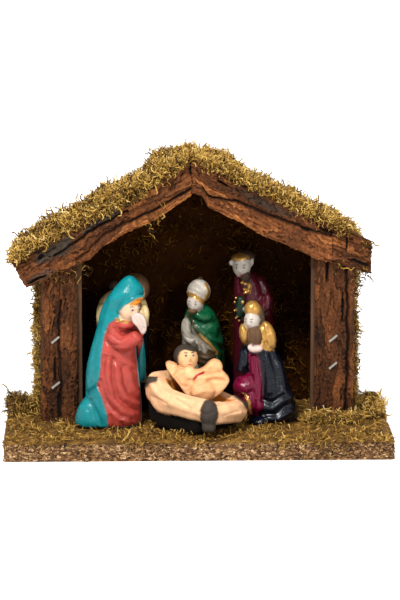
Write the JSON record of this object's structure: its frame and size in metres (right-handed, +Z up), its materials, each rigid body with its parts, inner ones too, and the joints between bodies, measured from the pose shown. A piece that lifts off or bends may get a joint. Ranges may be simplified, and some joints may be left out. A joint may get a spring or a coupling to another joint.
{
  "type": "wooden nativity stable",
  "caption": "Small open-fronted stable of thin board, bark-faced posts and rafters and glued dried moss on a particle-board base, with painted cast nativity figures and a manger inside.",
  "frame": {"origin": "centre of the base board's underside, on the table top", "axes": "+Z up, the open front faces -Y, +X to the right as seen from the front"},
  "size_m": [0.22, 0.11, 0.1642],
  "materials": {
    "chipboard": "raw particle board with visible chips",
    "thin_board": "raw thin fibre board",
    "batten_wood": "sawn softwood",
    "bark": "rough dry pine bark",
    "roof_moss": "dried straw-gold moss",
    "floor_moss": "ground dried moss",
    "dark_moss": "dark brown moss fibre",
    "staple_steel": "bright steel wire",
    "turquoise_paint": "glossy hand paint on a casting",
    "cream_paint": "glossy hand paint on a casting",
    "green_paint": "glossy hand paint on a casting",
    "wine_paint": "glossy hand paint on a casting",
    "navy_paint": "glossy hand paint on a casting",
    "straw_paint": "satin hand paint on a casting",
    "flesh_paint": "satin hand paint on a casting"
  },
  "bodies": {
    "root": {"back_staples": "staple_steel", "back_wall": "thin_board", "base_board": "chipboard", "base_staples": "staple_steel", "figure_green_king": "green_paint", "figure_kneeling_woman": "turquoise_paint", "figure_navy_king": "navy_paint", "figure_standing_man": "cream_paint", "figure_wine_king": "wine_paint", "infant": "flesh_paint", "manger": "straw_paint", "moss_back_lining": "dark_moss", "moss_floor": "floor_moss", "moss_ridge": "roof_moss", "moss_roof_left": "roof_moss", "moss_roof_right": "roof_moss", "moss_tuft_left": "floor_moss", "moss_tuft_post": "floor_moss", "moss_tuft_right": "floor_moss", "moss_wall_left": "roof_moss", "moss_wall_right": "roof_moss", "post_bark_left": "bark", "post_bark_right": "bark", "post_batten_left": "batten_wood", "post_batten_right": "batten_wood", "post_staples": "staple_steel", "rafter_bark_left": "bark", "rafter_bark_right": "bark", "rafter_batten_left": "batten_wood", "rafter_batten_right": "batten_wood", "rafter_staples": "staple_steel", "roof_panel_left": "thin_board", "roof_panel_right": "thin_board", "roof_staples": "staple_steel", "side_wall_left": "thin_board", "side_wall_right": "thin_board"}
  },
  "joints": []
}
